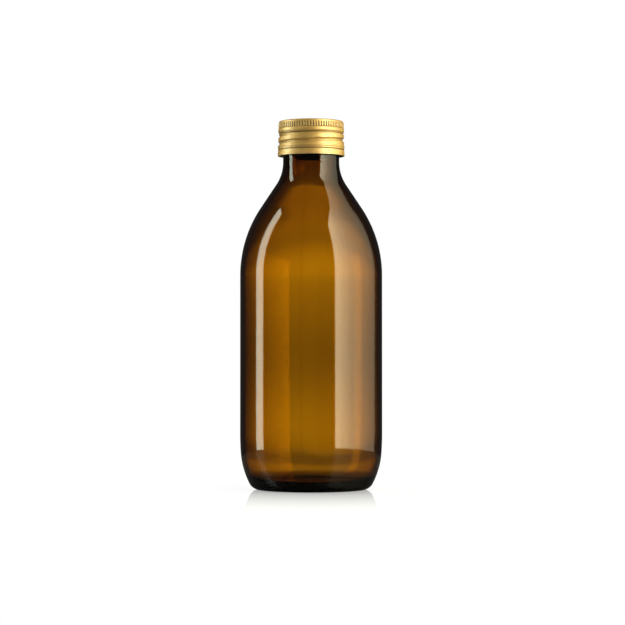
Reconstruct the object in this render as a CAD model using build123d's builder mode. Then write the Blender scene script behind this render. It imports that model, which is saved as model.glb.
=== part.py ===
from build123d import *
from math import ceil, cos, radians, sin, sqrt, tan
import os

# An empty glass bottle with a screwed-on metal cap. Its parts are the glass, the cap's
# sheet-metal shell, the foam wad inside the cap and the thin facing under the wad.
# Millimetres. The axis is Z, and the bottle stands on Z = 0. Angles are in degrees.

# ---- Glass, outside --------------------------------------------------------------------
glass_height = 157.8  # standing ring to rim
body_radius = 30.75
neck_radius = 12.18
shoulder_angle = 33.7  # slope of the shoulder's straight part, from the axis
shoulder_round = 52.5  # convex arc from the body into that slope
neck_round = 17.8  # concave arc from that slope into the neck
neck_corner_drop = 21.4  # rim to where the slope and the neck's side would cross

heel_belly_round = 120.0  # the heel's three arcs, from the side down to the standing ring
heel_belly_angle = 4.15
heel_round = 34.0
heel_angle = 27.4
heel_corner_round = 4.9

# ---- Glass, underneath -----------------------------------------------------------------
ring_width = 1.4  # the flat ring that the bottle stands on
ring_round = 3.0  # from the ring up into the push-up
push_up_angle = 16.0  # slope at the push-up's edge

# ---- Glass, inside ---------------------------------------------------------------------
bore_radius = 9.1
body_wall = 1.9
shoulder_wall = 2.1
inner_heel_angle = 20.0  # where the even wall ends and the inner corner starts
inner_corner_round = 6.0
floor_angle = 14.0  # slope at the edge of the domed floor

# ---- Finish: the threaded end of the glass ---------------------------------------------
rim_outer_round = 1.0
rim_inner_round = 0.8
thread_pitch = 3.175
thread_crest_radius = 13.8
thread_height = 1.15  # how far the thread stands out of the plain cylinder under it
thread_round = 1.1  # the thread's section is part of a circle of this radius
thread_top_drop = 5.0  # rim to the middle of the thread, where it reaches its full height
thread_top_bearing = 15.0  # direction of that point, anticlockwise from +X
thread_turn = 480.0  # length of the full-height thread, running down clockwise
thread_fade = 40.0  # length over which each end sinks into the finish

bead_step = 1.05  # how far the bead that the cap's skirt hangs around stands out
bead_top_drop = 10.9  # rim to the bead's upper edge
bead_height = 2.3
bead_slope = 0.7
bead_round = 0.4

# ---- Cap: aluminium shell --------------------------------------------------------------
sheet = 0.22
cap_height = 15.2
cap_corner_round = 0.85
knurl_count = 75
knurl_depth = 0.13
knurl_inset = 0.1  # the knurls' crests stand this far inside the plain band
knurl_gap = 0.42  # width of the groove between two knurls
knurl_top_drop = 0.98  # cap top to the knurls' upper ends
knurl_length = 2.36
knurl_slope = 0.25  # height of the slope between the knurled ring and the plain band
groove_drop = 5.5  # cap top to the middle of the rolled groove
groove_depth = 0.52
groove_round = 0.55
valley_depth = 0.6  # the rolled thread
valley_round = 0.75
valley_bearing = 285.0  # direction where it reaches its full depth, anticlockwise from +X
valley_turn = 460.0
valley_fade = 30.0
skirt_bead_drop = 11.3
skirt_bead_height = 0.27
skirt_bead_round = 0.6
skirt_step = 0.1  # the skirt below its bead stands this far outside the thread's lands
crease_drop = 12.5
crease_depth = 0.12
crease_half_width = 0.2
flare_drop = 14.0
flare_step = 0.25  # the skirt's lower edge stands this far outside the thread's lands
hem_width = 0.32
hem_round = 0.3

# ---- Liner -----------------------------------------------------------------------------
wad_thickness = 1.4
facing_thickness = 0.1

# ---- Fits ------------------------------------------------------------------------------
thread_clearance = 0.23  # crest of the glass thread to the inside of the cap's lands
thread_gap = 0.12  # between the flanks of the glass thread and of the rolled thread
liner_clearance = 0.1  # edge of the wad to the inside of the knurled ring
facing_inset = 0.35  # the facing is cut this much smaller than the wad

# ---- Worked out: glass -----------------------------------------------------------------
shoulder_slope = tan(radians(shoulder_angle))
neck_corner = glass_height - neck_corner_drop
shoulder_corner = neck_corner - (body_radius - neck_radius) / shoulder_slope
heel_height = (
    heel_belly_round * sin(radians(heel_belly_angle))
    + heel_round * (sin(radians(heel_angle)) - sin(radians(heel_belly_angle)))
    + heel_corner_round * (1 - sin(radians(heel_angle)))
)

inner_radius = body_radius - body_wall
slope_shift = shoulder_wall / cos(radians(shoulder_angle))
inner_neck_corner = neck_corner + (neck_radius - slope_shift - bore_radius) / shoulder_slope
inner_shoulder_corner = (
    neck_corner - (inner_radius - neck_radius + slope_shift) / shoulder_slope
)

finish_radius = thread_crest_radius - thread_height
bead_radius = finish_radius + bead_step
bead_top = glass_height - bead_top_drop
bead_bottom = bead_top - bead_height
thread_middle = thread_crest_radius - thread_round
thread_top = glass_height - thread_top_drop

# ---- Worked out: cap -------------------------------------------------------------------
cap_top = glass_height + facing_thickness + wad_thickness + sheet
cap_bottom = cap_top - cap_height
land_radius = thread_crest_radius + thread_clearance + sheet
knurl_crest_radius = land_radius - knurl_inset
knurl_radius = knurl_crest_radius - knurl_depth
knurl_bottom = cap_top - knurl_top_drop - knurl_length
groove_middle = land_radius - groove_depth + groove_round
skirt_radius = land_radius + skirt_step
flare_radius = land_radius + flare_step
hem_radius = flare_radius - hem_width
skirt_bead = cap_top - skirt_bead_drop
crease = cap_top - crease_drop

# The rolled thread runs under the glass thread, at the same pitch. In a half section both
# are circles, so the height between them follows from their radii and the gap.
valley_middle = land_radius - valley_depth + valley_round
thread_rise = sqrt(
    (thread_round + thread_gap + sheet + valley_round) ** 2
    - (valley_middle - thread_middle) ** 2
)
valley_top = (
    thread_top
    + thread_pitch * (valley_bearing - thread_top_bearing) / 360
    - thread_rise
)

wad_radius = knurl_radius - sheet - liner_clearance
facing_radius = wad_radius - facing_inset

piece_turn = 25.0  # most degrees that one piece of a thread turns through
fade_depth = 0.2  # a thread's ends run this far past the surface they fade into


def thread_pieces(top, bearing, turn, fade, middle, sunk_middle, section_round):
    """Round tubes, end to end, along a right-hand thread that runs down from its top."""
    whole_turn = turn + 2 * fade
    steps = 2 * ceil(whole_turn / piece_turn)
    sections = []
    for step in range(steps + 1):
        turned = whole_turn * step / steps - fade
        past_end = max(-turned, turned - turn, 0) / fade
        outward = Vector(1, 0, 0).rotate(Axis.Z, bearing - turned)
        radius = middle + (sunk_middle - middle) * past_end**2
        place = outward * radius + Vector(0, 0, top - thread_pitch * turned / 360)
        across = outward.cross(Vector(0, 0, 1))
        with BuildSketch(Plane(place, x_dir=outward, z_dir=across)) as section:
            Circle(section_round)
        sections.append(section.sketch.face())
    return [loft(sections[start : start + 3]) for start in range(0, steps, 2)]


# ---- Glass bottle ----------------------------------------------------------------------
glass_thread = thread_pieces(
    thread_top,
    thread_top_bearing,
    thread_turn,
    thread_fade,
    thread_middle,
    finish_radius - thread_round - fade_depth,
    thread_round,
)

with BuildPart() as glass_bottle:
    with BuildSketch(Plane.XZ):
        with BuildLine():
            # Side, shoulder, neck, bead and rim, then down the inside to the heel.
            walls = FilletPolyline(
                (body_radius, heel_height),
                (body_radius, shoulder_corner),
                (neck_radius, neck_corner),
                (neck_radius, bead_bottom),
                (bead_radius, bead_bottom + bead_slope),
                (bead_radius, bead_top - bead_slope),
                (finish_radius, bead_top),
                (finish_radius, glass_height),
                (bore_radius, glass_height),
                (bore_radius, inner_neck_corner),
                (inner_radius, inner_shoulder_corner),
                (inner_radius, heel_height),
                radius=[
                    shoulder_round,
                    neck_round,
                    bead_round,
                    bead_round,
                    bead_round,
                    bead_round,
                    rim_outer_round,
                    rim_inner_round,
                    neck_round + shoulder_wall,
                    shoulder_round - shoulder_wall,
                ],
            )
            # Outside of the heel, standing ring and push-up.
            belly = JernArc(walls @ 0, (0, -1), heel_belly_round, -heel_belly_angle)
            heel = JernArc(belly @ 1, belly % 1, heel_round, heel_belly_angle - heel_angle)
            heel_corner = JernArc(heel @ 1, heel % 1, heel_corner_round, heel_angle - 90)
            ring = Line(heel_corner @ 1, heel_corner @ 1 - Vector(ring_width, 0))
            ring_edge = JernArc(ring @ 1, (-1, 0), ring_round, -push_up_angle)
            push_up_round = (ring_edge @ 1).X / sin(radians(push_up_angle))
            push_up = JernArc(ring_edge @ 1, ring_edge % 1, push_up_round, push_up_angle)
            # Inside of the heel and the floor.
            inner_belly = JernArc(
                walls @ 1, (0, -1), heel_belly_round - body_wall, -heel_belly_angle
            )
            inner_heel = JernArc(
                inner_belly @ 1,
                inner_belly % 1,
                heel_round - body_wall,
                heel_belly_angle - inner_heel_angle,
            )
            inner_corner = JernArc(
                inner_heel @ 1,
                inner_heel % 1,
                inner_corner_round,
                inner_heel_angle - 90 - floor_angle,
            )
            floor_round = (inner_corner @ 1).X / sin(radians(floor_angle))
            inner_floor = JernArc(
                inner_corner @ 1, inner_corner % 1, floor_round, floor_angle
            )
            Line(inner_floor @ 1, push_up @ 1)
        make_face()
    revolve(axis=Axis.Z)
    add(glass_thread)

# ---- Cap: its half section as if solid, run on past the axis and the lower edge by one
# sheet, so that the same outline moved in by one sheet bounds the inside ----------------
with BuildSketch(Plane.XZ) as cap_section:
    with BuildLine():
        FilletPolyline(
            (-sheet, cap_bottom - sheet),
            (-sheet, cap_top),
            (knurl_radius, cap_top),
            (knurl_radius, knurl_bottom),
            (land_radius, knurl_bottom - knurl_slope),
            (land_radius, skirt_bead),
            (skirt_radius, skirt_bead),
            (skirt_radius, crease + crease_half_width),
            (skirt_radius - crease_depth, crease),
            (skirt_radius, crease - crease_half_width),
            (flare_radius, cap_top - flare_drop),
            (flare_radius, cap_bottom),
            (hem_radius, cap_bottom),
            (hem_radius, cap_bottom - sheet),
            radius=[0, 0, cap_corner_round] + 8 * [0] + [hem_round, 0, 0],
            close=True,
        )
    make_face()
    with Locations((groove_middle, cap_top - groove_drop)):
        Circle(groove_round, mode=Mode.SUBTRACT)
    with Locations((land_radius + skirt_bead_height - skirt_bead_round, skirt_bead)):
        Circle(skirt_bead_round)

with BuildSketch(Plane.XZ) as cap_hollow:
    add(cap_section.sketch_local)
    offset(amount=-sheet)

# ---- Cap: the rolled thread's outer and inner surface ----------------------------------
valley_outer, valley_inner = [
    thread_pieces(
        valley_top,
        valley_bearing,
        valley_turn,
        valley_fade,
        valley_middle,
        land_radius + valley_round + fade_depth,
        surface_round,
    )
    for surface_round in (valley_round, valley_round + sheet)
]

# ---- Cap: the space inside it ----------------------------------------------------------
with BuildPart() as cap_inside:
    with BuildSketch(Plane.XZ):
        add(cap_hollow.sketch_local)
    revolve(axis=Axis.Z)
    add(valley_inner, mode=Mode.SUBTRACT)

# ---- Cap shell -------------------------------------------------------------------------
with BuildPart() as cap_shell:
    with BuildSketch(Plane.XZ):
        add(cap_section.sketch_local)
        with Locations((0, cap_bottom)):
            Rectangle(
                flare_radius, cap_height, align=(Align.MIN, Align.MIN), mode=Mode.INTERSECT
            )
    revolve(axis=Axis.Z)
    add(valley_outer, mode=Mode.SUBTRACT)
    with BuildSketch(Plane.XY.offset(knurl_bottom)):
        Circle(knurl_crest_radius)
        Circle(knurl_radius - sheet / 2, mode=Mode.SUBTRACT)
        with PolarLocations(knurl_crest_radius, knurl_count):
            Rectangle(2 * knurl_depth, knurl_gap, mode=Mode.SUBTRACT)
    extrude(amount=knurl_length)
    add(cap_inside.part, mode=Mode.SUBTRACT)

# ---- Liner wad: fits the cap's top corner ----------------------------------------------
with BuildPart() as liner_wad:
    with BuildSketch(Plane.XY.offset(glass_height + facing_thickness)):
        Circle(wad_radius)
    extrude(amount=wad_thickness)
    fillet(liner_wad.edges().sort_by(Axis.Z)[-1], cap_corner_round - sheet)

# ---- Liner facing: rests on the rim ----------------------------------------------------
with BuildPart() as liner_facing:
    with BuildSketch(Plane.XY.offset(glass_height)):
        Circle(facing_radius)
    extrude(amount=facing_thickness)

glass_bottle.part.label = "glass_bottle"
cap_shell.part.label = "cap_shell"
liner_wad.part.label = "liner_wad"
liner_facing.part.label = "liner_facing"

os.makedirs("parts", exist_ok=True)
export_step(glass_bottle.part, "parts/glass_bottle.step")
export_step(cap_shell.part, "parts/cap_shell.step")
export_step(liner_wad.part, "parts/liner_wad.step")
export_step(liner_facing.part, "parts/liner_facing.step")
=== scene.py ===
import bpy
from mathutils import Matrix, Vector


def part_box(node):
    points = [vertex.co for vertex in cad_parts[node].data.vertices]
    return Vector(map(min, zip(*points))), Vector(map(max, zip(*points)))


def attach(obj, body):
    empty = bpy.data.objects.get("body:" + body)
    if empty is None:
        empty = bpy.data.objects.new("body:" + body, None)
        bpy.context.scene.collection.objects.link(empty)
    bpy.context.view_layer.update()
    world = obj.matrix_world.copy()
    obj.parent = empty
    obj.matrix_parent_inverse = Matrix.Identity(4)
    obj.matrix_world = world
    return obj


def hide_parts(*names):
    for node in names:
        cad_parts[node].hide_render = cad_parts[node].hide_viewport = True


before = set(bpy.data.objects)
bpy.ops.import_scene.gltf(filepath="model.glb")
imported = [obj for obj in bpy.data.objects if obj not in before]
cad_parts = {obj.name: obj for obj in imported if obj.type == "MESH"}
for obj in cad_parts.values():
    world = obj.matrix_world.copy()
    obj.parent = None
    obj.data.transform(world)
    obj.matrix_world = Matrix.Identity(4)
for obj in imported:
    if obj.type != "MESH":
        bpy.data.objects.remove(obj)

"""An empty amber glass bottle with a gold screw cap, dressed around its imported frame.

Lengths in the classes are in millimetres, and meshes are in metres. Heights are measured up
from the surface that the bottle stands on, and depths down from the top of the cap. A bearing
is an angle round the bottle's axis, anticlockwise from +X as seen from above.
"""

import logging
import math
from collections.abc import Callable
from dataclasses import dataclass, field
from enum import Enum

import bpy
import numpy as np
from mathutils import Vector

LOG = logging.getLogger("bottle")
MM = 0.001
# The cap's point attribute of painted shade: 1 where its surface is pressed in and painted dark.
PAINTED_SHADE = "painted_shade"  # the cap's attribute, 1 where its surface is pressed in
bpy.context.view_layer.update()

Colour = tuple[float, float, float, float]
Array = np.ndarray
Link = "Wire | bpy.types.NodeSocket | float | tuple"


# ---- Shader maths ----------------------------------------------------------------------


class Ray(Enum):
    """Kinds of light path that the studio tells apart."""

    CAMERA = "Is Camera Ray"
    DIFFUSE = "Is Diffuse Ray"
    SHARP = "Is Singular Ray"
    REFLECTED = "Is Reflection Ray"
    DEPTH = "Ray Depth"
    PASSES = "Transmission Depth"


def both_ways(operation: str) -> tuple[Callable, Callable]:
    """A wire's operator and its reflected form, each of which adds one Math node.

    Args:
        operation: the Math node's operation.

    Returns:
        The methods for a wire on the left and for a wire on the right.
    """

    def forward(wire: "Wire", other: Link) -> "Wire":
        """The operation on the wire and then the other value."""
        return wire.board.math(operation, wire, other)

    def reflected(wire: "Wire", other: Link) -> "Wire":
        """The operation on the other value and then the wire."""
        return wire.board.math(operation, other, wire)

    return forward, reflected


class Wire:
    """A shader value. Arithmetic on it adds Math nodes to its board."""

    def __init__(self, board: "Board", socket: bpy.types.NodeSocket) -> None:
        """Keeps the board and the output socket that holds the value."""
        self.board = board
        self.socket = socket

    __add__, __radd__ = both_ways("ADD")
    __sub__, __rsub__ = both_ways("SUBTRACT")
    __mul__, __rmul__ = both_ways("MULTIPLY")
    __truediv__, __rtruediv__ = both_ways("DIVIDE")
    __pow__, __rpow__ = both_ways("POWER")


class Board:
    """The node tree of one material or of the world."""

    def __init__(self, owner: bpy.types.Material | bpy.types.World) -> None:
        """Empties the owner's node tree and keeps it."""
        owner.use_nodes = True
        self.tree = owner.node_tree
        self.tree.nodes.clear()

    def node(self, kind: str, sockets: dict | None = None, **settings: str) -> bpy.types.Node:
        """Adds a node.

        Args:
            kind: the node's type, without the ShaderNode in front.
            sockets: a number, tuple, socket or wire for each input, by name or by place.
            settings: its attributes, which are set first.

        Returns:
            The new node.
        """
        made = self.tree.nodes.new("ShaderNode" + kind)
        for name, value in settings.items():
            setattr(made, name, value)
        for name, value in (sockets or {}).items():
            source = value.socket if isinstance(value, Wire) else value
            if isinstance(source, bpy.types.NodeSocket):
                self.tree.links.new(source, made.inputs[name])
            else:
                made.inputs[name].default_value = source
        return made

    def wire(self, made: bpy.types.Node, output: str | int = 0) -> Wire:
        """An output of a node as a wire."""
        return Wire(self, made.outputs[output])

    def math(self, operation: str, *values: Link) -> Wire:
        """One Math node on these values."""
        return self.wire(self.node("Math", dict(enumerate(values)), operation=operation))

    def step(self, value: Link, low: float, high: float) -> Wire:
        """A smooth step from 0 where value is low to 1 where it is high."""
        sockets = {"Value": value, "From Min": low, "From Max": high}
        return self.wire(self.node("MapRange", sockets, interpolation_type="SMOOTHSTEP"))

    def mix(self, share: Link, first: Link, second: Link) -> Wire:
        """A colour that goes from the first to the second as share goes from 0 to 1."""
        return self.wire(self.node("Mix", {0: share, 6: first, 7: second}, data_type="RGBA"), 2)

    def blend(self, share: Link, first: bpy.types.Node, second: bpy.types.Node) -> bpy.types.Node:
        """A surface that goes from the first shader to the second as share goes from 0 to 1."""
        return self.node("MixShader", {0: share, 1: first.outputs[0], 2: second.outputs[0]})

    def ray(self, kind: Ray) -> Wire:
        """What the light path says of this kind."""
        return self.wire(self.node("LightPath"), kind.value)

    def crossed(self, ahead: float) -> Wire:
        """1 for light that has crossed glass without a reflection, and otherwise 0.

        Args:
            ahead: how far the ray depth runs ahead of the bounces, 1 in the world and else 0.

        Returns:
            The wire.
        """
        passes = self.ray(Ray.PASSES)
        straight = self.math("COMPARE", self.ray(Ray.DEPTH) - passes, ahead, 0.5)
        return straight * self.math("GREATER_THAN", passes, 0.5)

    def vectors(self, operation: str, sockets: dict, output: str | int = 0) -> Wire:
        """One Vector Math node on these sockets."""
        return self.wire(self.node("VectorMath", sockets, operation=operation), output)

    def lookup(self, value: Wire, stops: tuple[tuple[float, float], ...]) -> Wire:
        """A smooth curve through stops.

        Args:
            value: what is looked up. Past either end of the stops it counts as that end.
            stops: values in rising order, each with its result.

        Returns:
            The result.
        """
        low, high = stops[0][0], stops[-1][0]
        peak = max(result for _, result in stops)
        made = self.node("ValToRGB", {"Fac": (value - low) / (high - low)})
        made.color_ramp.interpolation = "CARDINAL"
        elements = made.color_ramp.elements
        for _ in stops[2:]:
            elements.new(0.5)
        # A ramp sorts itself by position, so all positions are set before the first colour.
        for element, (at, _) in zip(elements, stops):
            element.position = (at - low) / (high - low)
        for element, (_, result) in zip(elements, stops):
            element.color = (*(result / peak,) * 3, 1.0)
        return self.wire(made, "Color") * peak

    def place(self, scale: tuple[float, float, float] = (1, 1, 1)) -> Wire:
        """Object coordinates, in metres, stretched by scale."""
        towards = self.node("TexCoord").outputs["Object"]
        return self.wire(self.node("Mapping", {"Vector": towards, "Scale": scale}))

    def height(self, place: Wire) -> Wire:
        """The height of a place."""
        return self.wire(self.node("SeparateXYZ", {"Vector": place}), "Z")

    def cells(self, place: Wire, scale: float) -> Wire:
        """Distance from the middle of the nearest of scale round cells to the metre."""
        sockets = {"Vector": place, "Scale": scale}
        return self.wire(self.node("TexVoronoi", sockets, feature="F1"), "Distance")

    def noise(self, place: Wire, scale: float, detail: float = 2.0, rough: float = 0.5) -> Wire:
        """Cloudy noise from 0 to 1, with about scale blotches to the metre."""
        sockets = {"Vector": place, "Scale": scale, "Detail": detail, "Roughness": rough}
        return self.wire(self.node("TexNoise", sockets), "Fac")

    def bump(self, height: Link, depth: float) -> Wire:
        """A normal tilted by height, which spans depth metres from 0 to 1."""
        return self.wire(self.node("Bump", {"Height": height, "Distance": depth, "Strength": 1.0}))

    def output(self, kind: str, surface: Link, volume: bpy.types.NodeSocket | None = None) -> None:
        """Ends the tree in a Material or a World output."""
        sockets = {"Surface": surface}
        if volume is not None:
            sockets["Volume"] = volume
        self.node("Output" + kind, sockets)


# ---- Finishes --------------------------------------------------------------------------


@dataclass(frozen=True)
class AmberGlass:
    """Clear amber container glass. Its colour comes only from the glass that light crosses."""

    name: str = "amber_glass"
    refraction: float = 1.52
    spared: Colour = (0.875, 0.76, 0.0, 1.0)  # share of each colour that the density spares
    density: float = 2200.0  # absorbed per metre, where the spared share is 0
    clear: Colour = (1.0, 1.0, 1.0, 1.0)
    handled: Colour = (0.96, 0.95, 0.93, 1.0)
    polish: float = 0.04
    handling: float = 0.03
    smears: float = 90.0  # to the metre, as are the waves and the grains
    smear_start: float = 0.55
    smear_end: float = 0.8
    waves: float = 55.0
    wave_depth: float = 0.00004
    ring_top: float = 0.0009  # the stippled band under the heel ends at this height
    ring_solid: float = 0.6  # share of that height up to which it is fully stippled
    ring_roughness: float = 0.1
    grains: float = 1400.0
    stipple_depth: float = 0.00006

    def material(self) -> bpy.types.Material:
        """The glass: a smooth skin with slow waves from the mould, and a stippled ring."""
        made = bpy.data.materials.new(self.name)
        board = Board(made)
        place = board.place()
        long_waves = board.noise(board.place((1, 1, 0.3)), self.waves, 1.0, 0.4)
        smears = board.noise(board.place((1, 1, 0.6)), self.smears, 4.0, 0.6)
        smears = board.step(smears, self.smear_start, self.smear_end)
        on_ring = 1 - board.step(board.height(place), self.ring_top * self.ring_solid, self.ring_top)
        stipples = {
            "Height": board.cells(place, self.grains) * on_ring,
            "Distance": self.stipple_depth,
            "Normal": board.bump(long_waves, self.wave_depth),
        }
        skin = {
            "Base Color": board.mix(smears, self.clear, self.handled),
            "Roughness": self.polish + smears * self.handling + on_ring * self.ring_roughness,
            "IOR": self.refraction,
            "Transmission Weight": 1.0,
            "Normal": board.node("Bump", stipples).outputs[0],
        }
        glass = board.node("BsdfPrincipled", skin)
        depth = board.node("VolumeAbsorption", {"Color": self.spared, "Density": self.density})
        board.output("Material", glass.outputs[0], depth.outputs[0])
        return made


@dataclass(frozen=True)
class GoldLacquer:
    """Satin gold lacquer over rolled aluminium sheet, with painted shade where the sheet is pressed in.
    """

    name: str = "gold_aluminium"
    light: Colour = (0.88, 0.55, 0.08, 1.0)
    deep: Colour = (0.68, 0.38, 0.035, 1.0)
    # painted shade: the dark gold laid into the pressed-in parts of the sheet
    painted_shade: Colour = (0.10, 0.05, 0.008, 1.0)
    bare: Colour = (0.88, 0.84, 0.74, 1.0)
    metal: float = 0.75
    bare_metal: float = 0.3  # added where the lacquer is worn off
    satin: float = 0.42
    rolling: float = 900.0  # to the metre, as are the clouds and the specks
    clouds: float = 160.0
    specks: float = 2600.0
    grain: float = 0.2
    speck_grain: float = 0.04
    grain_depth: float = 0.000012
    edge_wear: float = 0.00005  # an edge is worn most up to here, and not at all past its reach
    low_reach: float = 0.0004
    high_reach: float = 0.00035
    high_wear: float = 0.25  # the top edge's wear, where the lower edge's is 1
    coat: float = 0.95
    coat_worn: float = 0.35
    # share of the coat taken off in the pressed-in parts, so the painted shade also dims the highlight
    # there
    coat_shade_loss: float = 0.8
    coat_roughness: float = 0.42
    coat_refraction: float = 2.55

    def material(self, top: float, bottom: float) -> bpy.types.Material:
        """The lacquer on a cap.

        Args:
            top: height of the cap's top, in metres.
            bottom: height of its lower edge, where handling wears the lacquer.

        Returns:
            The material.
        """
        made = bpy.data.materials.new(self.name)
        board = Board(made)
        place = board.place()
        rolled = board.noise(board.place((1, 1, 4)), self.rolling, 3.0, 0.6)
        cloud = board.noise(place, self.clouds, 3.0, 0.55)
        speckle = board.noise(place, self.specks, 2.0, 0.6)
        height = board.height(place)
        low_edge = 1 - board.step(height, bottom + self.edge_wear, bottom + self.low_reach)
        high_edge = board.step(height, top - self.high_reach, top - self.edge_wear)
        edges = low_edge + high_edge * self.high_wear
        worn = edges * board.step(speckle * 0.5 + cloud * 0.5, 0.5, 0.62)
        # Painted shade: where the sheet is pressed in, the gold turns dark and the coat thins.
        painted_shade = board.wire(board.node("Attribute", attribute_name=PAINTED_SHADE), "Fac")
        gold = board.mix(board.step(cloud, 0.3, 0.75), self.deep, self.light)
        gold = board.mix(painted_shade, gold, self.painted_shade)
        coat = (self.coat - worn * self.coat_worn) * (1 - painted_shade * self.coat_shade_loss)
        skin = {
            "Base Color": board.mix(worn, gold, self.bare),
            "Metallic": self.metal + worn * self.bare_metal,
            "Roughness": self.satin + rolled * self.grain + speckle * self.speck_grain,
            "Coat Weight": coat,
            "Coat Roughness": self.coat_roughness,
            "Coat IOR": self.coat_refraction,
            "Normal": board.bump(rolled * 0.6 + speckle * 0.4, self.grain_depth),
        }
        board.output("Material", board.node("BsdfPrincipled", skin).outputs[0])
        return made


@dataclass(frozen=True)
class SoftLiner:
    """The closed foam of the wad, or the smooth film under it."""

    name: str
    pale: Colour
    shaded: Colour
    roughness: float
    cells: float  # cells to the metre
    cell_depth: float
    sheen: float
    clouds: float = 240.0  # to the metre
    unevenness: float = 0.12

    def material(self) -> bpy.types.Material:
        """The foam or the film, with its own cells and faint unevenness."""
        made = bpy.data.materials.new(self.name)
        board = Board(made)
        place = board.place()
        cells = board.cells(place, self.cells)
        cloud = board.noise(place, self.clouds, 3.0, 0.6)
        skin = {
            "Base Color": board.mix(cloud * 0.6 + cells * 0.4, self.pale, self.shaded),
            "Roughness": self.roughness + cloud * self.unevenness,
            "Sheen Weight": self.sheen,
            "Normal": board.bump(1 - cells, self.cell_depth),
        }
        board.output("Material", board.node("BsdfPrincipled", skin).outputs[0])
        return made


@dataclass(frozen=True)
class PaleFloor:
    """A plain white polished surface. Its shine is strongest beside the bottle."""

    name: str = "pale_floor"
    white: Colour = (0.97, 0.97, 0.97, 1.0)
    warm: Colour = (0.965, 0.96, 0.955, 1.0)
    bright: Colour = (1.0, 1.0, 1.0, 1.0)
    # painted shade: the floor's colour as the bottle mirrors it
    dim: Colour = (0.06, 0.06, 0.06, 1.0)
    clouds: float = 30.0  # to the metre
    shine: float = 0.55
    shine_start: float = 0.020  # distance from the axis at which the shine starts to fade
    shine_end: float = 0.185
    glow: float = 0.75  # share of the white that takes no shadow
    side_shine: float = 0.06  # shine that the bottle mirrors
    side_roughness: float = 0.25
    # painted shadow: the colour of the floor under the foot, where it is seen through the glass
    foot: Colour = (0.16, 0.16, 0.16, 1.0)  # as seen through the glass, under its foot
    beyond: Colour = (0.7, 0.7, 0.7, 1.0)  # and far from it
    shade_start: float = 0.03  # distance at which the shade round the foot starts to clear
    shade_end: float = 0.11

    def material(self) -> bpy.types.Material:
        """The floor: white with a fading shine to the camera, shaded round the foot where it
        is seen through the glass, and dim where the bottle mirrors it."""
        made = bpy.data.materials.new(self.name)
        board = Board(made)
        place = board.place()
        white = board.mix(board.noise(place, self.clouds, 3.0, 0.5), self.white, self.warm)
        matt = board.node("BsdfDiffuse", {"Color": white})
        glow = board.node("Emission", {"Color": self.bright})
        away = board.vectors("LENGTH", {0: place}, "Value")
        near = 1 - (away - self.shine_start) / (self.shine_end - self.shine_start)
        near = board.math("MAXIMUM", board.math("MINIMUM", near, 1.0), 0.0)
        mirror = board.node("BsdfGlossy", {"Color": self.bright, "Roughness": 0.0})
        seen = board.blend(near**2 * self.shine, board.blend(self.glow, matt, glow), mirror)
        # Painted shade in the bottle's reflections: the floor that the bottle mirrors is dark, with a
        # faint rough sheen.
        dim = board.node("BsdfDiffuse", {"Color": self.dim})
        sheen = board.node("BsdfGlossy", {"Color": self.bright, "Roughness": self.side_roughness})
        mirrored = board.blend(self.side_shine, dim, sheen)
        # Painted shadow: the floor seen through the glass glows dark under the foot and clears further
        # out.
        clear = board.step(away, self.shade_start, self.shade_end)
        through = board.node("Emission", {"Color": board.mix(clear, self.foot, self.beyond)})
        hidden = board.blend(board.crossed(0.0), mirrored, through)
        surface = board.blend(board.ray(Ray.CAMERA), hidden, seen)
        board.output("Material", surface.outputs[0])
        return made


# ---- Outlines and skins ----------------------------------------------------------------


def unit(vector: Array) -> Array:
    """The vector at length 1."""
    return vector / np.linalg.norm(vector)


def arc_points(centre: Array, start: Array, angle: float, step: float) -> Array:
    """Points along an arc: the start point turned round the centre by even shares of angle.

    Args:
        centre: middle of the circle, as radius and height.
        start: first point of the arc.
        angle: how far it turns, in radians, anticlockwise if positive.
        step: longest distance between two points.

    Returns:
        The points, both ends among them.
    """
    spoke = start - centre
    count = max(2, math.ceil(abs(angle) * np.linalg.norm(spoke) / step)) + 1
    turned = np.linspace(0, angle, count)
    across = np.array([-spoke[1], spoke[0]])
    return centre + np.outer(np.cos(turned), spoke) + np.outer(np.sin(turned), across)


def rounded(corners: list[tuple[float, float]], radii: list[float], step: float) -> Array:
    """An outline of straight runs, with an arc that touches both runs at each inner corner.

    An arc of radius r at a corner that turns by angle t starts r times tan(t/2) before it.

    Args:
        corners: the corners, as radius and height.
        radii: the arc's radius for each inner corner.
        step: longest distance between two points on an arc, or a tenth of a radian if less.

    Returns:
        The outline's points.
    """
    points = np.array(corners, float)
    line = [points[:1]]
    for corner, before, after, radius in zip(points[1:-1], points, points[2:], radii):
        came, goes = unit(corner - before), unit(after - corner)
        turn = math.atan2(came[0] * goes[1] - came[1] * goes[0], came @ goes)
        start = corner - came * radius * math.tan(abs(turn) / 2)
        inward = np.array([-came[1], came[0]]) * math.copysign(radius, turn)
        line.append(arc_points(start + inward, start, turn, min(step, radius / 10)))
    line.append(points[-1:])
    return np.concatenate(line)


def arcs_on(line: Array, heading: float, *arcs: tuple[float, float, float]) -> Array:
    """Carries an outline on with arcs that follow each other smoothly.

    Args:
        line: the outline so far.
        heading: its direction at the end, in degrees from the outward radius.
        arcs: for each arc its radius, the degrees that it turns through, anticlockwise if
            positive, and the longest distance between two points.

    Returns:
        The longer outline.
    """
    for radius, turn, step in arcs:
        side = math.radians(heading + math.copysign(90, turn))
        centre = line[-1] + radius * np.array([math.cos(side), math.sin(side)])
        more = arc_points(centre, line[-1], math.radians(turn), step)
        line, heading = np.concatenate([line, more[1:]]), heading + turn
    return line


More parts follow.
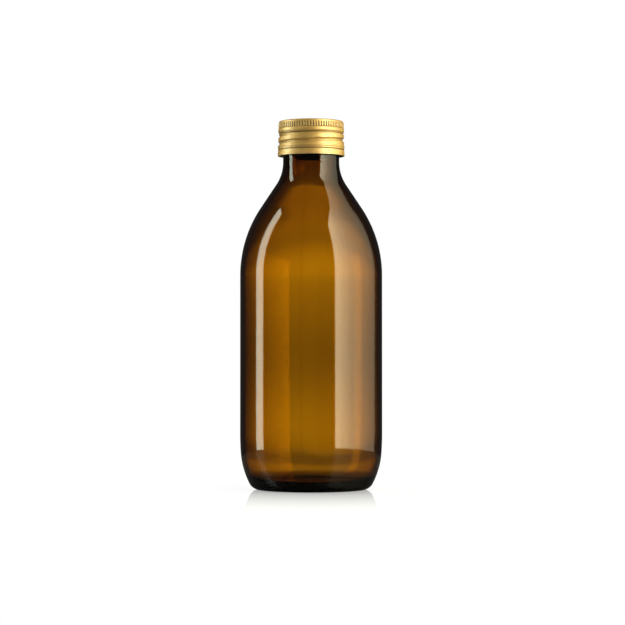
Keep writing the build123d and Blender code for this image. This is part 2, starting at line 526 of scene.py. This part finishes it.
def spaced(line: Array, step: float) -> Array:
    """The outline with its long runs divided, so that no two points are further apart than step."""
    gaps = np.linalg.norm(np.diff(line, axis=0), axis=1)
    counts = np.maximum(1, np.ceil(gaps / step)).astype(int)
    along = [np.arange(n) / n + i for i, n in enumerate(counts)]
    places = np.append(np.concatenate(along), len(line) - 1)
    whole = np.arange(len(line))
    return np.column_stack([np.interp(places, whole, line[:, k]) for k in (0, 1)])


def soft_least(first: Array, second: Array, blend: float) -> Array:
    """The lesser of two values, with their crossing rounded over a width of blend.

    It is half of the sum less the root of the squared difference plus the squared blend.
    """
    return (first + second - np.sqrt((first - second) ** 2 + blend**2)) / 2 + blend * 0.02


def turned_skin(
    name: str,
    radius: Array,
    height: Array,
    bearings: Array,
    values: dict[str, Array] | None = None,
) -> bpy.types.Object:
    """A closed skin round the axis. Its first and last rows are single points on the axis.

    The point in row i and column j is (R cos b, R sin b, H), where R and H are radius and
    height there, and b is the bearing of column j.

    Args:
        name: the piece's name.
        radius: radii in millimetres, rows down and columns round.
        height: heights in millimetres, with the same shape.
        bearings: the columns' bearings in radians.
        values: attributes to keep on the points, with the same shape.

    Returns:
        The new object.
    """
    rows, columns = radius.shape
    ring = np.stack([radius * np.cos(bearings), radius * np.sin(bearings), height], axis=-1)[1:-1]
    ends = np.array([[0, 0, height[0, 0]], [0, 0, height[-1, 0]]])
    points = np.concatenate([ring.reshape(-1, 3), ends]) * MM
    index = np.arange((rows - 2) * columns).reshape(rows - 2, columns)
    beside = np.roll(index, -1, axis=1)
    quads = np.stack([index[:-1], index[1:], beside[1:], beside[:-1]], axis=-1).reshape(-1, 4)
    first, last = len(points) - 2, len(points) - 1
    start_fan = np.stack([np.full(columns, first), index[0], beside[0]], axis=-1)
    end_fan = np.stack([np.full(columns, last), beside[-1], index[-1]], axis=-1)
    turn = -1 if ring_volume(points, quads) < 0 else 1
    corners = np.concatenate([faces[:, ::turn].ravel() for faces in (quads, start_fan, end_fan)])
    sides = np.concatenate([np.full(len(quads), 4), np.full(2 * columns, 3)])
    starts = np.concatenate([[0], np.cumsum(sides)[:-1]])
    mesh = bpy.data.meshes.new(name)
    mesh.vertices.add(len(points))
    mesh.vertices.foreach_set("co", points.astype(np.float32).ravel())
    mesh.loops.add(len(corners))
    mesh.loops.foreach_set("vertex_index", corners.astype(np.int32))
    mesh.polygons.add(len(sides))
    mesh.polygons.foreach_set("loop_start", starts.astype(np.int32))
    mesh.polygons.foreach_set("use_smooth", np.ones(len(sides), bool))
    mesh.update(calc_edges=True)
    mesh.validate()
    for key, grid in (values or {}).items():
        flat = np.concatenate([grid[1:-1].ravel(), [grid[0, 0], grid[-1, 0]]])
        mesh.attributes.new(key, "FLOAT", "POINT").data.foreach_set("value", flat.astype(np.float32))
    made = bpy.data.objects.new(name, mesh)
    bpy.context.scene.collection.objects.link(made)
    LOG.info("%s: %d points, %d faces", name, len(points), len(sides))
    return made


def turned_line(name: str, radius: Array, height: Array, columns: int) -> bpy.types.Object:
    """A skin like that of turned_skin, with the same radii and heights in every column."""
    grid = (len(radius), columns)
    bearings = np.linspace(0, 2 * math.pi, columns, endpoint=False)
    radius, height = (np.broadcast_to(line[:, None], grid) for line in (radius, height))
    return turned_skin(name, radius, height, bearings)


def ring_volume(points: Array, quads: Array) -> float:
    """Volume inside the quads: a sixth of the triple products of their triangles' corners."""
    a, b, c, d = (points[quads[:, k]] for k in range(4))
    return float(np.einsum("ij,ij->i", a, np.cross(b, c) + np.cross(c, d)).sum() / 6)


def finish_piece(
    piece: bpy.types.Object, material: bpy.types.Material, body: str, node: str
) -> None:
    """Dresses a piece and ties it to the frame: it rides on body and stands for node."""
    piece.data.materials.append(material)
    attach(piece, body)
    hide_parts(node)
    LOG.info("%s rides on %s and stands for %s", piece.name, body, node)


@dataclass(frozen=True)
class Helix:
    """A round thread that runs down clockwise, and whose ends sink over their last stretch."""

    pitch: float
    top: float
    bearing: float
    turn: float
    fade: float
    middle: float
    sunk_middle: float
    section_round: float

    def section(self, bearings: Array, height: Array) -> tuple[Array, Array, Array]:
        """Where the thread's round section lies in the half plane at each point.

        The thread has turned by t degrees at height top less pitch times t/360. Past either
        end its middle moves to sunk_middle, by the square of the share of the fade.

        Args:
            bearings: bearing of each point, in degrees.
            height: height of each point.

        Returns:
            The section's middle radius, half its chord at that height, and where there is one.
        """
        base = (self.bearing - bearings) % 360
        nearest = np.round(((self.top - height) / self.pitch * 360 - base) / 360)
        turned = base + 360 * nearest
        past = np.maximum(np.maximum(-turned, turned - self.turn), 0) / self.fade
        middle = self.middle + (self.sunk_middle - self.middle) * np.minimum(past, 1) ** 2
        off = height - (self.top - self.pitch * turned / 360)
        chord = np.sqrt(np.maximum(self.section_round**2 - off**2, 0))
        return middle, chord, (past < 1) & (np.abs(off) < self.section_round)


# ---- Glass bottle ----------------------------------------------------------------------


@dataclass
class GlassBottle:
    """The moulded bottle: one skin, from the middle of the push-up, up the outside, over the
    rim and down the inside to the middle of the floor."""

    height: float
    body_radius: float
    neck_radius: float = 12.18
    shoulder_angle: float = 33.7
    shoulder_round: float = 52.5
    neck_round: float = 17.8
    neck_corner_drop: float = 21.4
    belly_round: float = 120.0
    belly_angle: float = 4.15
    heel_round: float = 34.0
    heel_angle: float = 27.4
    heel_corner_round: float = 4.9
    ring_width: float = 1.4
    ring_round: float = 3.0
    push_up_angle: float = 16.0
    bore_radius: float = 9.1
    body_wall: float = 1.9
    shoulder_wall: float = 2.1
    inner_heel_angle: float = 20.0
    inner_corner_round: float = 6.0
    floor_angle: float = 14.0
    thread_crest_radius: float = 13.8
    thread_height: float = 1.15
    rim_outer_round: float = 1.0
    rim_inner_round: float = 0.8
    bead_step: float = 1.05
    bead_top_drop: float = 10.9
    bead_height: float = 2.3
    bead_slope: float = 0.7
    bead_round: float = 0.4
    thread_pitch: float = 3.175
    thread_round: float = 1.1
    thread_top_drop: float = 5.0
    thread_bearing: float = 15.0
    thread_turn: float = 480.0
    thread_fade: float = 40.0
    fade_depth: float = 0.2
    seam_bearing: float = 262.0
    seam_height: float = 0.05
    seam_half_width: float = 0.22
    wall_wave: float = 0.07
    wave_reach: float = 6.0  # the waves grow over this radius
    thread_soft: float = 0.08
    arc_step: float = 0.6  # longest distance between two points on an outside arc
    inner_arc_step: float = 0.8
    belly_step: float = 1.6
    heel_step: float = 0.9
    corner_step: float = 0.3
    ring_step: float = 0.25
    push_up_step: float = 1.0
    inner_corner_step: float = 0.5
    floor_step: float = 1.2
    side_rows: float = 2.0  # longest distance between two rows
    thread_rows: float = 0.13
    rim_rows: float = 0.5
    inner_rows: float = 2.2
    columns: int = 180
    finish: AmberGlass = field(default_factory=AmberGlass)

    @property
    def finish_radius(self) -> float:
        """Radius of the plain cylinder under the thread."""
        return self.thread_crest_radius - self.thread_height

    def heel_height(self) -> float:
        """Height at which the straight side turns into the heel's first arc."""
        belly, heel = (math.sin(math.radians(a)) for a in (self.belly_angle, self.heel_angle))
        arcs = self.belly_round * belly + self.heel_round * (heel - belly)
        return arcs + self.heel_corner_round * (1 - heel)

    def outside(self) -> Array:
        """The outline from the middle of the push-up to the rim's outer edge."""
        slope = math.tan(math.radians(self.shoulder_angle))
        neck_corner = self.height - self.neck_corner_drop
        shoulder_corner = neck_corner - (self.body_radius - self.neck_radius) / slope
        bead_top = self.height - self.bead_top_drop
        bead_bottom = bead_top - self.bead_height
        bead_radius = self.finish_radius + self.bead_step
        walls = rounded(
            [
                (self.body_radius, self.heel_height()),
                (self.body_radius, shoulder_corner),
                (self.neck_radius, neck_corner),
                (self.neck_radius, bead_bottom),
                (bead_radius, bead_bottom + self.bead_slope),
                (bead_radius, bead_top - self.bead_slope),
                (self.finish_radius, bead_top),
                (self.finish_radius, self.height),
                (self.bore_radius, self.height),
            ],
            [self.shoulder_round, self.neck_round, *[self.bead_round] * 4, self.rim_outer_round],
            self.arc_step,
        )
        under = arcs_on(
            walls[:1],
            -90,
            (self.belly_round, -self.belly_angle, self.belly_step),
            (self.heel_round, self.belly_angle - self.heel_angle, self.heel_step),
            (self.heel_corner_round, self.heel_angle - 90, self.corner_step),
        )
        under = np.append(under, under[-1:] - [self.ring_width, 0], axis=0)
        push_up = self.push_up_angle
        under = arcs_on(under, -180, (self.ring_round, -push_up, self.ring_step))
        dome_round = under[-1, 0] / math.sin(math.radians(push_up))
        under = arcs_on(under, -180 - push_up, (dome_round, push_up, self.push_up_step))
        return np.concatenate([under[:0:-1], walls])

    def inside(self) -> Array:
        """The outline from the bore's edge down to the middle of the floor."""
        slope = math.tan(math.radians(self.shoulder_angle))
        neck_corner = self.height - self.neck_corner_drop
        inner = self.body_radius - self.body_wall
        shift = self.shoulder_wall / math.cos(math.radians(self.shoulder_angle))
        walls = rounded(
            [
                (self.bore_radius + 1.6, self.height),
                (self.bore_radius, self.height),
                (self.bore_radius, neck_corner + (self.neck_radius - shift - self.bore_radius) / slope),
                (inner, neck_corner - (inner - self.neck_radius + shift) / slope),
                (inner, self.heel_height()),
            ],
            [
                self.rim_inner_round,
                self.neck_round + self.shoulder_wall,
                self.shoulder_round - self.shoulder_wall,
            ],
            self.inner_arc_step,
        )
        wall, heel = self.body_wall, self.inner_heel_angle
        line = arcs_on(
            walls,
            -90,
            (self.belly_round - wall, -self.belly_angle, self.belly_step),
            (self.heel_round - wall, self.belly_angle - heel, self.heel_step),
            (self.inner_corner_round, heel - 90 - self.floor_angle, self.inner_corner_step),
        )
        dome_round = line[-1, 0] / math.sin(math.radians(self.floor_angle))
        return arcs_on(line, -180 - self.floor_angle, (dome_round, self.floor_angle, self.floor_step))

    def bearings(self) -> Array:
        """The columns' bearings in degrees: even ones, and closer ones across both seams."""
        even = np.arange(self.columns) * 360 / self.columns
        widths = np.array([-2, -1, -0.5, 0, 0.5, 1, 2]) * self.seam_half_width
        across = np.degrees(widths / self.body_radius)
        seams = np.concatenate([self.seam_bearing + across, self.seam_bearing - 180 + across])
        clear = np.abs((even[:, None] - seams + 180) % 360 - 180).min(axis=1) > 0.25
        return np.sort(np.concatenate([even[clear], seams % 360]))

    def with_thread(self, radius: Array, height: Array, bearings: Array) -> Array:
        """The finish's radius raised to the thread's outer side wherever that stands higher."""
        helix = Helix(
            self.thread_pitch,
            self.height - self.thread_top_drop,
            self.thread_bearing,
            self.thread_turn,
            self.thread_fade,
            self.thread_crest_radius - self.thread_round,
            self.finish_radius - self.thread_round - self.fade_depth,
            self.thread_round,
        )
        middle, chord, there = helix.section(bearings, height)
        raised = -soft_least(-radius, -(middle + chord), self.thread_soft)
        return np.where(there, np.maximum(radius, raised), radius)

    def with_seams(self, radius: Array, bearings: Array) -> Array:
        """Adds the mould's two seams: a ridge that falls off as a bell curve to either side."""
        off = (bearings - self.seam_bearing + 90) % 180 - 90
        side = np.radians(off) * self.body_radius / self.seam_half_width
        return radius + self.seam_height * np.exp(-(side**2))

    def uneven_wall(self, radius: Array, height: Array, bearings: Array) -> Array:
        """Adds the blown wall's slow waves: sines of 3, 7 and 11 waves round, which drift with
        height."""
        turn = np.radians(bearings)
        waves = np.sin(3 * turn + height / 31) + 0.6 * np.sin(7 * turn - height / 47 + 1)
        waves = waves + 0.35 * np.sin(11 * turn + height / 70 + 2)
        fade = np.clip((radius - self.bore_radius - 1) / self.wave_reach, 0, 1)
        return radius + self.wall_wave * waves * fade * np.clip(height / 20 - 0.4, 0, 1) / 2

    def build(self) -> bpy.types.Object:
        """Makes the bottle's skin and gives it its glass.

        Returns:
            The bottle's object.
        """
        outside = self.outside()
        inside = self.inside()
        finish_foot = self.height - self.bead_top_drop
        threaded = (outside[:, 1] > finish_foot - 0.01) & (outside[:, 0] > self.finish_radius - 0.01)
        first = int(np.argmax(threaded))
        last = int(np.nonzero(threaded)[0][-1])
        outer = np.concatenate(
            [
                spaced(outside[: first + 1], self.side_rows),
                spaced(outside[first : last + 1], self.thread_rows)[1:],
                spaced(outside[last:-1], self.rim_rows)[1:],
            ]
        )
        inner = spaced(inside[1:], self.inner_rows)
        bearings = self.bearings()
        line = np.concatenate([outer, inner])
        radius = np.repeat(line[:, :1], len(bearings), axis=1)
        height = np.repeat(line[:, 1:], len(bearings), axis=1)
        round_it = np.broadcast_to(bearings, radius.shape)
        edge = len(outer)
        rows = slice(0, edge)
        on_side = (line[rows, 1] > 1.0) & (line[rows, 0] > self.neck_radius - 0.1)
        seamed = self.with_seams(radius[rows], round_it[rows])
        radius[rows] = np.where(on_side[:, None], seamed, radius[rows])
        finish = np.nonzero((line[rows, 1] > finish_foot + 0.01) & (line[rows, 1] < self.height - 0.3))[0]
        radius[finish] = self.with_thread(radius[finish], height[finish], round_it[finish])
        radius[edge:] = self.uneven_wall(radius[edge:], height[edge:], round_it[edge:])
        piece = turned_skin("bottle_glass", radius, height, np.radians(bearings))
        finish_piece(piece, self.finish.material(), "bottle", "glass_bottle")
        return piece


# ---- Cap -------------------------------------------------------------------------------


class Side(Enum):
    """The two sides of the cap's sheet. The value is how many sheets in from the outside."""

    OUTER = 0
    INNER = 1


@dataclass
class ScrewCap:
    """The rolled aluminium shell: one skin over the top, down the outside, round the hem and
    up the inside. Depths are from the cap's top."""

    top: float
    bottom: float
    flare_radius: float
    sheet: float = 0.22
    corner_round: float = 0.85
    flare_step: float = 0.25
    knurl_count: int = 75
    knurl_depth: float = 0.13
    knurl_inset: float = 0.1
    knurl_top: float = 0.98
    knurl_length: float = 2.36
    knurl_slope: float = 0.25
    groove: float = 5.5
    groove_depth: float = 0.52
    groove_round: float = 0.55
    thread_pitch: float = 3.175
    valley_top: float = 5.72
    valley_depth: float = 0.6
    valley_round: float = 0.75
    valley_bearing: float = 285.0
    valley_turn: float = 460.0
    valley_fade: float = 30.0
    fade_depth: float = 0.2
    bead: float = 11.3
    bead_step: float = 0.27
    bead_round: float = 0.6
    skirt_step: float = 0.1
    crease: float = 12.5
    crease_depth: float = 0.12
    crease_half_width: float = 0.2
    flare: float = 14.0
    hem_width: float = 0.32
    soft: float = 0.07  # width over which the groove and the rolled thread round into the wall
    knurl_start: float = 0.12  # slope at the knurls' upper ends
    knurl_end: float = 0.1
    finish: GoldLacquer = field(default_factory=GoldLacquer)

    @property
    def land_radius(self) -> float:
        """Outer radius of the plain bands."""
        return self.flare_radius - self.flare_step

    @property
    def knurl_radius(self) -> float:
        """Outer radius between two knurls."""
        return self.land_radius - self.knurl_inset - self.knurl_depth

    @property
    def knurl_bottom(self) -> float:
        """Depth of the knurls' lower ends."""
        return self.knurl_top + self.knurl_length

    def band_radius(self, depth: Array) -> Array:
        """Outer radius at each depth, before the knurls and the rolled thread.

        It steps from the knurled ring out to the plain band, dips into the round groove,
        swells in the skirt's bead, steps to the skirt, notches at the crease and flares.
        """
        land = self.land_radius
        knurl_end = self.knurl_bottom + self.knurl_slope
        breaks = [self.knurl_bottom, knurl_end, self.bead, self.bead + 0.15]
        levels = [self.knurl_radius, land, land, land + self.skirt_step]
        breaks += [self.crease + self.crease_half_width, self.flare]
        levels += [land + self.skirt_step, self.flare_radius]
        radius = np.interp(depth, breaks, levels)
        groove = np.sqrt(np.maximum(self.groove_round**2 - (depth - self.groove) ** 2, 0))
        dip = land - self.groove_depth + self.groove_round - groove
        near = np.abs(depth - self.groove) < self.groove_round
        radius = np.where(near, np.minimum(radius, soft_least(radius, dip, self.soft)), radius)
        bead = np.sqrt(np.maximum(self.bead_round**2 - (depth - self.bead) ** 2, 0))
        radius = np.maximum(radius, land + self.bead_step - self.bead_round + bead)
        notch = 1 - np.abs(depth - self.crease) / self.crease_half_width
        return radius - self.crease_depth * np.clip(notch, 0, 1)

    def with_valley(
        self, radius: Array, depth: Array, bearings: Array, side: Side
    ) -> Array:
        """The radius pressed in along the rolled thread, whose section is an arc of a circle."""
        helix = Helix(
            self.thread_pitch,
            -self.valley_top,
            self.valley_bearing,
            self.valley_turn,
            self.valley_fade,
            self.land_radius - self.valley_depth + self.valley_round,
            self.land_radius + self.valley_round + self.fade_depth,
            self.valley_round + self.sheet * side.value,
        )
        middle, chord, there = helix.section(bearings, -depth)
        least = soft_least(radius, middle - chord, self.soft)
        return np.where(there, np.minimum(radius, least), radius)

    def with_knurls(self, radius: Array, depth: Array, share: Array) -> Array:
        """Raises the knurls: flat crests with sloping flanks, between the ring's two ends.

        Args:
            radius: radii so far.
            depth: depths of the same points.
            share: place of each point from one groove's middle, 0, to the next one's, 1.

        Returns:
            The radii with the knurls on.
        """
        crest = np.clip((np.minimum(share, 1 - share) - 0.15) / 0.06, 0, 1)
        start = np.clip((depth - self.knurl_top) / self.knurl_start, 0, 1)
        end = np.clip((self.knurl_bottom - depth) / self.knurl_end, 0, 1)
        return radius + self.knurl_depth * crest * np.minimum(start, end)

    # Painted shade: the share below darkens the lacquer and thins its coat in the pressed-in parts.
    def pressed(self, radius: Array, depth: Array, share: Array) -> Array:
        """How deep the outside is pressed in, from 0 to 1.

        It is 1 between two knurls, at the crease and at the bottom of the round groove, and
        a third at the bottom of the rolled thread. The lacquer paints shade there by this share.

        Args:
            radius: the finished radii.
            depth: depths of the same points.
            share: place of each point from one groove's middle, 0, to the next one's, 1.

        Returns:
            The share for each point.
        """
        crest = np.clip((np.minimum(share, 1 - share) - 0.17) / 0.05, 0, 1)
        start = np.clip((depth - self.knurl_top + 0.05) / 0.1, 0, 1)
        end = np.clip((self.knurl_bottom + self.knurl_end - depth) / 0.15, 0, 1)
        between = (1 - crest) * np.minimum(start, end)
        crease = np.clip(1.4 - np.abs(depth - self.crease) / self.crease_half_width, 0, 1)
        groove = np.exp(-(((depth - self.groove) / 0.26) ** 2))
        valley = np.clip((self.land_radius - radius) / self.valley_depth, 0, 1) / 3
        valley = valley * (np.abs(depth - self.groove) > self.groove_round) * (depth > self.groove)
        return np.maximum.reduce([between, crease, groove, valley])

    def depths(self, side: Side) -> Array:
        """The rows' depths down one side of the wall, closer together where the shape turns."""
        slope_top = self.knurl_bottom - self.knurl_end
        slope_bottom = self.knurl_bottom + self.knurl_slope
        rows_to = [
            (self.knurl_top, 2),
            (self.knurl_top + self.knurl_start, 2),
            (slope_top, 4),
            (slope_bottom, 5),
            (self.groove - self.groove_round, 4),
            (self.groove + self.groove_round, 12),
            (self.bead - self.bead_round, 32),
            (self.bead + self.bead_round, 12),
            (self.crease - self.crease_half_width, 2),
            (self.crease + self.crease_half_width, 4),
            (self.flare, 3),
            (self.top - self.bottom - self.hem_width / 2, 3),
        ]
        share = 1 if side is Side.OUTER else 2
        rows, start = [], self.corner_round
        for end, count in rows_to:
            rows.append(np.linspace(start, end, math.ceil(count / share), endpoint=False))
            start = end
        return np.append(np.concatenate(rows), start)

    def disc(self, panel: float, corner: float, flat: int) -> tuple[Array, Array]:
        """Radii and depths along a flat disc and down the quarter circle at its edge.

        Args:
            panel: the disc's radius.
            corner: the quarter circle's radius.
            flat: number of points on the disc, the middle among them.

        Returns:
            The radii and the depths.
        """
        quarter = np.radians(np.linspace(0, 90, 8))
        radius = [np.linspace(0, panel, flat + 1)[:-1], panel + corner * np.sin(quarter)]
        depth = [np.zeros(flat), corner * (1 - np.cos(quarter))]
        return np.concatenate(radius), np.concatenate(depth)

    def build(self) -> bpy.types.Object:
        """Makes the shell and gives it its lacquer.

        Returns:
            The cap's object.
        """
        in_knurl = np.array([0.0, 0.14, 0.20, 0.27, 0.5, 0.73, 0.80, 0.86])
        shares = np.tile(in_knurl, self.knurl_count)
        knurls = np.repeat(np.arange(self.knurl_count), len(in_knurl))
        bearings = (knurls + shares) * 360 / self.knurl_count
        panel = self.knurl_radius - self.corner_round
        top_radius, top_depth = self.disc(panel, self.corner_round, 5)
        under_radius, under_depth = self.disc(panel, self.corner_round - self.sheet, 4)
        under_depth = self.sheet + under_depth
        outer, inner = self.depths(Side.OUTER)[1:], self.depths(Side.INNER)[::-1][:-1]
        half = np.radians(np.linspace(0, 180, 9))[1:]
        hem_middle = self.flare_radius - self.hem_width / 2
        hem_radius = hem_middle + self.hem_width / 2 * np.cos(half)
        hem_depth = self.top - self.bottom - self.hem_width / 2 * (1 - np.sin(half))
        depth = np.concatenate([top_depth, outer, hem_depth, inner, under_depth[::-1]])[:, None]
        band_out = self.band_radius(outer)
        band_in = self.band_radius(inner) - self.sheet
        radius = np.concatenate([top_radius, band_out, hem_radius, band_in, under_radius[::-1]])[:, None]
        grid = (len(depth), len(bearings))
        depth, radius = np.broadcast_to(depth, grid), np.broadcast_to(radius, grid).copy()
        around = np.broadcast_to(bearings, grid)
        rows = slice(len(top_depth), len(top_depth) + len(outer))
        radius[rows] = self.with_valley(radius[rows], depth[rows], around[rows], Side.OUTER)
        share = np.broadcast_to(shares, grid)[rows]
        radius[rows] = self.with_knurls(radius[rows], depth[rows], share)
        # Painted shade for the pressed-in parts of the outside, kept on the points for the lacquer.
        painted_shade = np.zeros(grid)
        painted_shade[rows] = self.pressed(radius[rows], depth[rows], share)
        rows = slice(rows.stop + len(hem_depth), rows.stop + len(hem_depth) + len(inner))
        radius[rows] = self.with_valley(radius[rows], depth[rows], around[rows], Side.INNER)
        height = self.top - depth
        piece = turned_skin("screw_cap", radius, height, np.radians(bearings), {PAINTED_SHADE: painted_shade})
        material = self.finish.material(self.top * MM, self.bottom * MM)
        finish_piece(piece, material, "cap", "cap_shell")
        return piece


# ---- Liner -----------------------------------------------------------------------------


@dataclass
class LinerDisc:
    """A round disc of the liner, with the ring that the glass rim has pressed into it."""

    name: str
    node: str
    slot: str
    radius: float
    bottom: float
    top: float
    top_round: float
    finish: SoftLiner
    press_radius: float = 10.9
    press_half_width: float = 1.7
    press_depth: float = 0.03
    columns: int = 160

    def build(self) -> bpy.types.Object:
        """Makes the disc and gives it its finish.

        Its underside rises under the rim by press_depth times a cosine bell.

        Returns:
            The disc's object.
        """
        quarter = np.radians(np.linspace(0, 90, 7))
        panel = self.radius - self.top_round
        under = np.concatenate([np.linspace(0, self.radius - 0.03, 40), [self.radius]])
        bell = np.clip(1 - np.abs(under - self.press_radius) / self.press_half_width, 0, 1)
        rise = self.press_depth * (1 - np.cos(math.pi * bell)) / 2
        rise[-1] = 0.02
        over = np.concatenate([panel + self.top_round * np.cos(quarter), np.linspace(panel, 0, 8)[1:]])
        corner_height = self.top - self.top_round * (1 - np.sin(quarter))
        over_height = np.concatenate([corner_height, np.full(7, self.top)])
        line_radius = np.concatenate([under, over])
        line_height = np.concatenate([self.bottom + rise, over_height])
        piece = turned_line(self.name, line_radius, line_height, self.columns)
        finish_piece(piece, self.finish.material(), "liner", self.node)
        return piece


# ---- Studio ----------------------------------------------------------------------------


@dataclass
class Studio:
    """A pale floor, a white backdrop, two softboxes in a dark room, and the camera.

    Azimuths are in degrees from -Y, towards +X if positive.
    """

    floor_radius: float = 175.0
    floor_drop: float = 0.02
    floor_depth: float = 2.0
    floor_rings: int = 12
    floor_columns: int = 96
    floor_light: float = 1.14
    room: float = 0.035
    strip_middle: float = -92.0
    strip_half_width: float = 8.0
    strip_top: float = 50.0
    strip_soft: float = 0.6  # half the width of its edges, in degrees
    strip_light: tuple[float, float, float] = (5.7, 6.1, 4.8)
    box_near: float = 39.0
    box_far: float = 128.0
    box_middle: float = 95.0  # azimuth at which the wide box's top edge stands highest
    box_top: float = 2.03  # tangent of the top edge's elevation there
    box_light: tuple[float, float, float] = (6.6, 6.3, 4.3)
    box_soft: float = 0.5
    box_far_soft: float = 6.0  # width over which its far edge fades
    box_even: float = 6.0  # it starts to dim this far past its near edge
    box_fade: float = 38.0
    box_bottom: float = -14.0
    backdrop: tuple[tuple[float, float], ...] = (  # elevations, each with its brightness
        (-8.0, 0.70), (-4.0, 0.60), (-3.1, 0.38), (-2.85, 0.45), (-2.6, 0.78),
        (-2.0, 1.02), (-1.2, 0.83), (-0.2, 0.57), (0.8, 0.71), (1.7, 0.96),
        (2.5, 1.30), (3.2, 1.15), (3.85, 0.78), (4.5, 0.86), (5.2, 0.80),
        (6.3, 0.42), (8.0, 0.30),
    )
    spots: int = 8
    spot_share: float = 0.55
    camera_distance: float = 975.0
    camera_side: float = 0.585
    camera_height: float = 59.6
    camera_pitch: float = 0.997
    lens: float = 129.6

    def floor(self) -> None:
        """A round floor: rings of points on a disc, just under the bottle."""
        rings = np.linspace(0, self.floor_radius, self.floor_rings)
        radius = np.append(rings, [self.floor_radius, 0])
        top = np.full(self.floor_rings, -self.floor_drop)
        height = np.append(top, [-self.floor_depth] * 2)
        made = turned_line("floor", radius, height, self.floor_columns)
        made.data.materials.append(PaleFloor().material())

    def softboxes(self, board: Board, azimuth: Wire, elevation: Wire) -> Wire:
        """Colour of the narrow box on the left and the wide one on the right, which dims
        rearwards."""
        radians = math.pi / 180
        off = board.math("ABSOLUTE", azimuth - self.strip_middle)
        half, soft = self.strip_half_width, self.strip_soft
        strip = 1 - board.step(off, half - soft, half + soft)
        strip = strip * (1 - board.step(elevation, self.strip_top - 2, self.strip_top))
        wide = board.step(azimuth, self.box_near - self.box_soft, self.box_near + self.box_soft)
        wide = wide * (1 - board.step(azimuth, self.box_far - self.box_far_soft, self.box_far))
        edge = board.math("COSINE", (azimuth - self.box_middle) * radians) * self.box_top
        wide = wide * board.step(edge - board.math("TANGENT", elevation * radians), 0, 0.08)
        dimming = board.math("EXPONENT", (self.box_near + self.box_even - azimuth) / self.box_fade)
        wide = wide * board.math("MINIMUM", dimming, 1.0)
        above = board.step(elevation, self.box_bottom - 1, self.box_bottom)
        left = board.vectors("SCALE", {0: self.strip_light, "Scale": strip * above})
        right = board.vectors("SCALE", {0: self.box_light, "Scale": wide * above})
        return board.vectors("ADD", {0: left, 1: right})

    def light(self) -> None:
        """The world: white to the camera and to the floor's shine, even for matt surfaces, and
        otherwise the softboxes in a dark room.

        Light that has crossed the glass without a reflection sees the backdrop, whose
        brightness goes by elevation and peaks at evenly spaced spots round the room.
        """
        world = bpy.data.worlds.new("studio")
        bpy.context.scene.world = world
        board = Board(world)
        towards = board.node("TexCoord").outputs["Generated"]
        parts = board.node("SeparateXYZ", {"Vector": towards})
        x, y, z = (board.wire(parts, axis) for axis in "XYZ")
        degrees = 180 / math.pi
        azimuth = board.math("ARCTAN2", x, 0 - y) * degrees
        elevation = board.math("ARCSINE", z) * degrees
        spot = (board.math("COSINE", azimuth * (self.spots / degrees)) * 0.5 + 0.5) ** 3
        spot = spot * self.spot_share + (1 - self.spot_share)
        spot = spot * board.lookup(elevation, self.backdrop)
        room = (self.room,) * 3
        boxes = self.softboxes(board, azimuth, elevation)
        boxes = board.vectors("ADD", {0: boxes, 1: room})
        backdrop = board.vectors("SCALE", {0: (1, 1, 1), "Scale": spot})
        seen = board.mix(board.crossed(1.0), boxes, backdrop)
        even = (self.floor_light,) * 3 + (1.0,)
        white = (1.0, 1.0, 1.0, 1.0)
        seen = board.mix(board.ray(Ray.DIFFUSE), seen, even)
        seen = board.mix(board.ray(Ray.SHARP) * board.ray(Ray.REFLECTED), seen, white)
        seen = board.mix(board.ray(Ray.CAMERA), seen, white)
        light = board.node("Background", {"Color": seen, "Strength": 1.0})
        board.output("World", light.outputs[0])

    def camera(self) -> None:
        """The camera: a long lens a little above the heel, looking slightly up."""
        made = bpy.data.objects.new("camera", bpy.data.cameras.new("camera"))
        made.data.lens = self.lens
        made.location = Vector((self.camera_side, -self.camera_distance, self.camera_height)) * MM
        made.rotation_euler = (math.radians(90 + self.camera_pitch), 0, 0)
        bpy.context.scene.collection.objects.link(made)
        bpy.context.scene.camera = made

    def build(self) -> None:
        """Sets up the floor, the light and the camera."""
        self.floor()
        self.light()
        self.camera()
        bpy.context.scene.view_settings.view_transform = "Standard"
        LOG.info("studio is ready")


FOAM = SoftLiner(
    "foam_wad", (0.86, 0.86, 0.83, 1.0), (0.72, 0.72, 0.69, 1.0), 0.6, 3200.0, 0.00006, 0.1
)
FILM = SoftLiner(
    "barrier_film", (0.83, 0.82, 0.79, 1.0), (0.74, 0.73, 0.70, 1.0), 0.22, 900.0, 0.00001, 0.0
)


def in_mm(node: str) -> tuple[Vector, Vector]:
    """A CAD node's lowest and highest corners, in millimetres."""
    low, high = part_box(node)
    return low / MM, high / MM


def main() -> None:
    """Builds the bottle, the cap, the liner and the studio in order."""
    logging.basicConfig(level=logging.INFO, format="%(name)s: %(message)s")
    low, high = in_mm("glass_bottle")
    GlassBottle(height=high.z, body_radius=(high.x - low.x) / 2).build()
    low, high = in_mm("cap_shell")
    ScrewCap(top=high.z, bottom=low.z, flare_radius=(high.x - low.x) / 2).build()
    for name, node, slot, top_round, finish in (
        ("foam_liner", "liner_wad", "foam_wad", 0.63, FOAM),
        ("film_facing", "liner_facing", "barrier_film", 0.04, FILM),
    ):
        low, high = in_mm(node)
        LinerDisc(name, node, slot, (high.x - low.x) / 2, low.z, high.z, top_round, finish).build()
    Studio().build()


if __name__ == "__main__":
    main()
